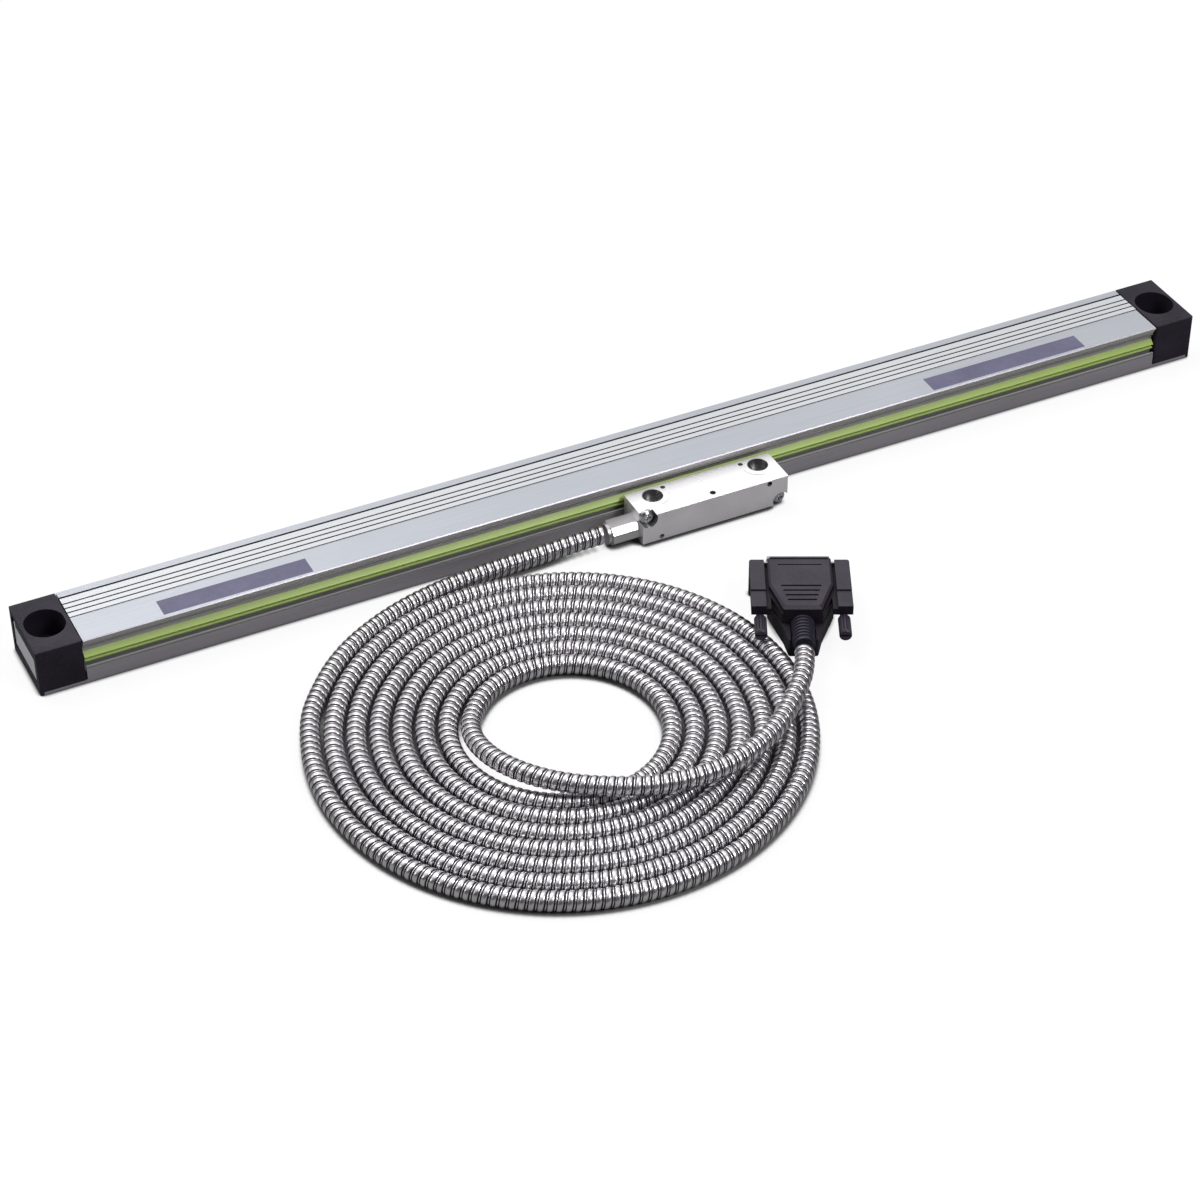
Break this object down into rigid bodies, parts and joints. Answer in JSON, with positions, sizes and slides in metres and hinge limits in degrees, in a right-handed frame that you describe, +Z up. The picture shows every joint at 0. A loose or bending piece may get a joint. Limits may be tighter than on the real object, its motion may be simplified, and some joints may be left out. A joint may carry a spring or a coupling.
{
  "type": "linear glass scale",
  "caption": "Sealed linear glass scale: grooved aluminium profile with lip seals, plastic end blocks, sliding reading head, armoured cable coiled flat and a D-shaped plug.",
  "frame": {"origin": "midway between the two mounting holes, on the underside of the profile", "axes": "+X along the scale towards the end away from the cable, +Z up out of the mounting face, the reading head rides on the -Y side"},
  "size_m": [0.508, 0.2326, 0.02],
  "materials": {
    "housing": "satin anodised, drawn lengthwise",
    "end_block": "moulded, fine texture",
    "gasket": "matte",
    "bare_plate": "satin foil",
    "screw_steel": "bright zinc",
    "lip": "satin extruded elastomer",
    "glass": "polished with a fine chromium grating",
    "label": "bare printed film",
    "head": "satin nickel plated",
    "spring_steel": "hardened, polished",
    "ribbon": "amber film",
    "board": "solder mask",
    "carriage": "milled",
    "dark_plastic": "matte",
    "lens": "clear",
    "coupling": "bright nickel",
    "conduit": "polished, spirally wound strip",
    "plug_plastic": "moulded",
    "shell": "tinned",
    "insulator": "moulded",
    "contacts": "gold plated",
    "boot": "moulded",
    "thumb": "moulded fluted knob on a steel screw",
    "bearing_steel": "ground"
  },
  "bodies": {
    "scale": {"scale_housing": "housing", "end_block_left": "end_block", "end_block_right": "end_block", "end_gasket_left": "gasket", "end_gasket_right": "gasket", "end_plate_left": "bare_plate", "end_screws": "screw_steel", "upper_lip_seal": "lip", "lower_lip_seal": "lip", "glass_scale": "glass", "glass_clamp_strip": "gasket", "label_plate_left": "label", "label_plate_right": "label"},
    "reading_head": {"head_block": "head", "head_back_cover": "head", "corner_screws": "screw_steel", "blade_clamp_screws": "screw_steel", "arm_blade": "spring_steel", "signal_ribbon": "ribbon", "head_circuit_board": "board", "scanning_carriage": "carriage", "bearing_axles": "spring_steel", "lamp_holder": "dark_plastic", "lamp": "lens", "scanning_reticle": "glass", "sensor_board": "board", "pressure_spring": "spring_steel", "cable_coupling": "coupling", "coupling_ring": "coupling", "conduit_lead": "conduit", "conduit_coil": "conduit", "conduit_tail": "conduit", "plug_hood_lower": "plug_plastic", "plug_hood_upper": "plug_plastic", "plug_shell": "shell", "plug_insulator": "insulator", "plug_contacts": "contacts", "cable_boot": "boot", "hood_screws": "screw_steel"},
    "face_bearing_left": {"face_bearing_left": "bearing_steel"},
    "face_bearing_right": {"face_bearing_right": "bearing_steel"},
    "edge_bearing_left": {"edge_bearing_left": "bearing_steel"},
    "edge_bearing_right": {"edge_bearing_right": "bearing_steel"},
    "thumb_screw_left": {"thumb_screw_left": "thumb"},
    "thumb_screw_right": {"thumb_screw_right": "thumb"}
  },
  "joints": [
    {"name": "head_slide", "type": "slide", "parent": "scale", "child": "reading_head", "axis": [1, 0, 0], "range_m": [-0.204, 0.166]},
    {"name": "face_bearing_left_spin", "type": "hinge", "parent": "reading_head", "child": "face_bearing_left", "pos_m": [0.0025, 0.003, 0.01402], "axis": [0, 1, 0], "continuous": true},
    {"name": "face_bearing_right_spin", "type": "hinge", "parent": "reading_head", "child": "face_bearing_right", "pos_m": [0.0355, 0.003, 0.01402], "axis": [0, 1, 0], "continuous": true},
    {"name": "edge_bearing_left_spin", "type": "hinge", "parent": "reading_head", "child": "edge_bearing_left", "pos_m": [0.006, -0.00302, 0.0102], "axis": [0, 0, 1], "continuous": true},
    {"name": "edge_bearing_right_spin", "type": "hinge", "parent": "reading_head", "child": "edge_bearing_right", "pos_m": [0.032, -0.00302, 0.0102], "axis": [0, 0, 1], "continuous": true},
    {"name": "thumb_screw_left_turn", "type": "hinge", "parent": "reading_head", "child": "thumb_screw_left", "pos_m": [0.00599, -0.09406, 0.00911], "axis": [-0.44, -0.8942, 0.0819], "continuous": true},
    {"name": "thumb_screw_right_turn", "type": "hinge", "parent": "reading_head", "child": "thumb_screw_right", "pos_m": [0.03435, -0.10801, 0.00911], "axis": [-0.44, -0.8942, 0.0819], "continuous": true}
  ],
  "couplings": [
    {"joint": "face_bearing_left_spin", "follows": "head_slide", "rad_per_m": 400},
    {"joint": "face_bearing_right_spin", "follows": "head_slide", "rad_per_m": 400},
    {"joint": "edge_bearing_left_spin", "follows": "head_slide", "rad_per_m": 500},
    {"joint": "edge_bearing_right_spin", "follows": "head_slide", "rad_per_m": 500}
  ]
}
